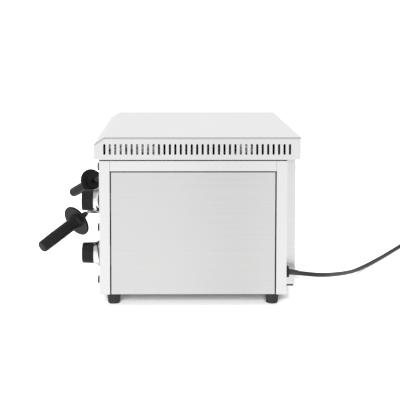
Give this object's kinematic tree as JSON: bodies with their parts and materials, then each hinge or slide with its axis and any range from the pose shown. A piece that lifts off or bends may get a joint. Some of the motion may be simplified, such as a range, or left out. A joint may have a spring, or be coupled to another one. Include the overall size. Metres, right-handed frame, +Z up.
{
  "type": "countertop pizza oven",
  "caption": "Countertop infrared pizza oven: open-fronted brushed steel box, slotted top, dial controls, pull-out wire rack on two black handles, crumb tray, cord.",
  "frame": {"origin": "on the table under the middle of the oven's overall box, its handles and rear cover included, the mains cord left out", "axes": "+Z up; -Y is the open front, the way the rack pulls out; +X is the side of the control column, on the right as seen by someone facing the open front"},
  "size_m": [0.6009, 0.9206, 0.3156],
  "materials": {
    "brushed_steel": "satin brushed",
    "liner_steel": "matte",
    "bright_reflector": "bright",
    "foil": "crinkled bright",
    "steel_rod": "polished",
    "chrome": "mirror",
    "plated_screws": "satin",
    "phenolic": "satin",
    "dial_black": "satin",
    "black_plastic": "satin",
    "lamp_lens": "gloss",
    "black_rubber": "matte",
    "spacer_grey": "satin",
    "quartz": "clear gloss",
    "filament_wire": "matte",
    "ceramic": "matte",
    "thermostat_body": "satin",
    "insulation": "matte",
    "cord_rubber": "matte",
    "brass": "satin"
  },
  "bodies": {
    "oven": {"base_pan": "brushed_steel", "cable_gland": "black_plastic", "ceiling_insulation": "insulation", "chamber_liner": "liner_steel", "control_bulkhead": "liner_steel", "cord_coil": "cord_rubber", "cord_tail": "cord_rubber", "cover_brackets": "liner_steel", "cover_screws": "plated_screws", "duct_seal": "black_rubber", "feet": "black_rubber", "filaments": "filament_wire", "foil_blanket": "foil", "foot_fasteners": "plated_screws", "front_panel": "brushed_steel", "gland_locknut": "black_plastic", "lamp_bezels": "black_plastic", "lamp_lenses": "lamp_lens", "lid_brackets": "liner_steel", "lid_top": "brushed_steel", "liner_stands": "liner_steel", "lower_dial_plate": "dial_black", "lower_heater_guard": "steel_rod", "lower_thermostat": "thermostat_body", "mains_plug": "cord_rubber", "plug_pins": "brass", "power_cord": "cord_rubber", "quartz_tubes": "quartz", "rack_rails": "liner_steel", "rear_cover": "liner_steel", "rear_panel": "brushed_steel", "sensors": "steel_rod", "side_panel_left": "brushed_steel", "side_panel_right": "brushed_steel", "side_rails": "brushed_steel", "strain_relief": "black_rubber", "terminal_block": "ceramic", "top_deck": "brushed_steel", "tube_caps": "ceramic", "upper_dial_plate": "dial_black", "upper_heater_guard": "steel_rod", "upper_reflector": "bright_reflector", "upper_thermostat": "thermostat_body", "vent_band_left": "brushed_steel", "vent_band_right": "brushed_steel", "wall_spacers": "spacer_grey"},
    "rack": {"wire_rack": "steel_rod", "handle_grip_left": "phenolic", "handle_grip_right": "phenolic", "handle_ferrule_left": "chrome", "handle_ferrule_right": "chrome"},
    "crumb_tray": {"crumb_tray": "brushed_steel"},
    "knob_upper": {"upper_knob": "phenolic", "upper_knob_skirt": "chrome", "upper_knob_shaft": "steel_rod"},
    "knob_lower": {"lower_knob": "phenolic", "lower_knob_skirt": "chrome", "lower_knob_shaft": "steel_rod"}
  },
  "joints": [
    {"name": "rack_slide", "type": "slide", "parent": "oven", "child": "rack", "axis": [0, -1, 0], "range_m": [0, 0.25]},
    {"name": "tray_slide", "type": "slide", "parent": "oven", "child": "crumb_tray", "axis": [0, -1, 0], "range_m": [0, 0.22]},
    {"name": "upper_knob_turn", "type": "hinge", "parent": "oven", "child": "knob_upper", "pos_m": [0.243, -0.15, 0.19], "axis": [0, 1, 0], "range_deg": [0, 270]},
    {"name": "lower_knob_turn", "type": "hinge", "parent": "oven", "child": "knob_lower", "pos_m": [0.243, -0.15, 0.0894], "axis": [0, 1, 0], "range_deg": [0, 270]}
  ]
}
